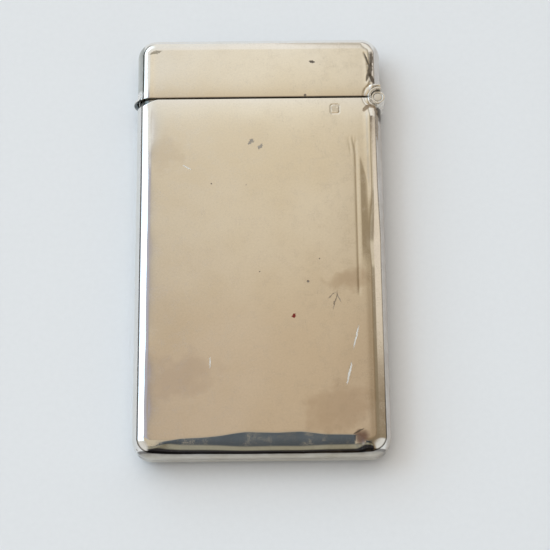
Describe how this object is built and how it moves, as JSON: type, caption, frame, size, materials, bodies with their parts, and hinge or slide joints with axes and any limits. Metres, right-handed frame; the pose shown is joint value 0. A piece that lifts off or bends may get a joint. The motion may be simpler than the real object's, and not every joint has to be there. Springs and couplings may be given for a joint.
{
  "type": "card case",
  "caption": "Flat pocket-sized silver case for visiting cards, with a rolled edge and a short end lid that swings sideways on a small hinge, opened by a thumb lip.",
  "frame": {"origin": "under the middle of the case, on the plane its back rests on", "axes": "+X towards the hinge side, +Y towards the lid end, +Z out of the front face; the case lies on its back"},
  "size_m": [0.0516, 0.089, 0.0085],
  "materials": {
    "silver": "polished sheet silver, lightly tarnished and worn",
    "pin_metal": "drawn wire, peened and filed flush",
    "spring_metal": "hard-rolled strip, satin"
  },
  "bodies": {
    "case": {"body_front_shell": "silver", "body_back_shell": "silver", "body_collar": "silver", "body_hinge_shoulder": "silver", "hinge_knuckle_front": "silver", "hinge_knuckle_back": "silver", "hinge_pin": "pin_metal", "spring_anchor": "silver", "snap_spring": "spring_metal", "spring_rivets": "spring_metal"},
    "lid": {"lid_front_shell": "silver", "lid_back_shell": "silver", "lid_hinge_shoulder": "silver", "hinge_knuckle_lid": "silver", "thumb_lip": "silver"}
  },
  "joints": [
    {"name": "lid_hinge", "type": "hinge", "parent": "case", "child": "lid", "pos_m": [0.0244, 0.0306, 0.00425], "axis": [0, 0, -1], "range_deg": [0, 120]}
  ]
}
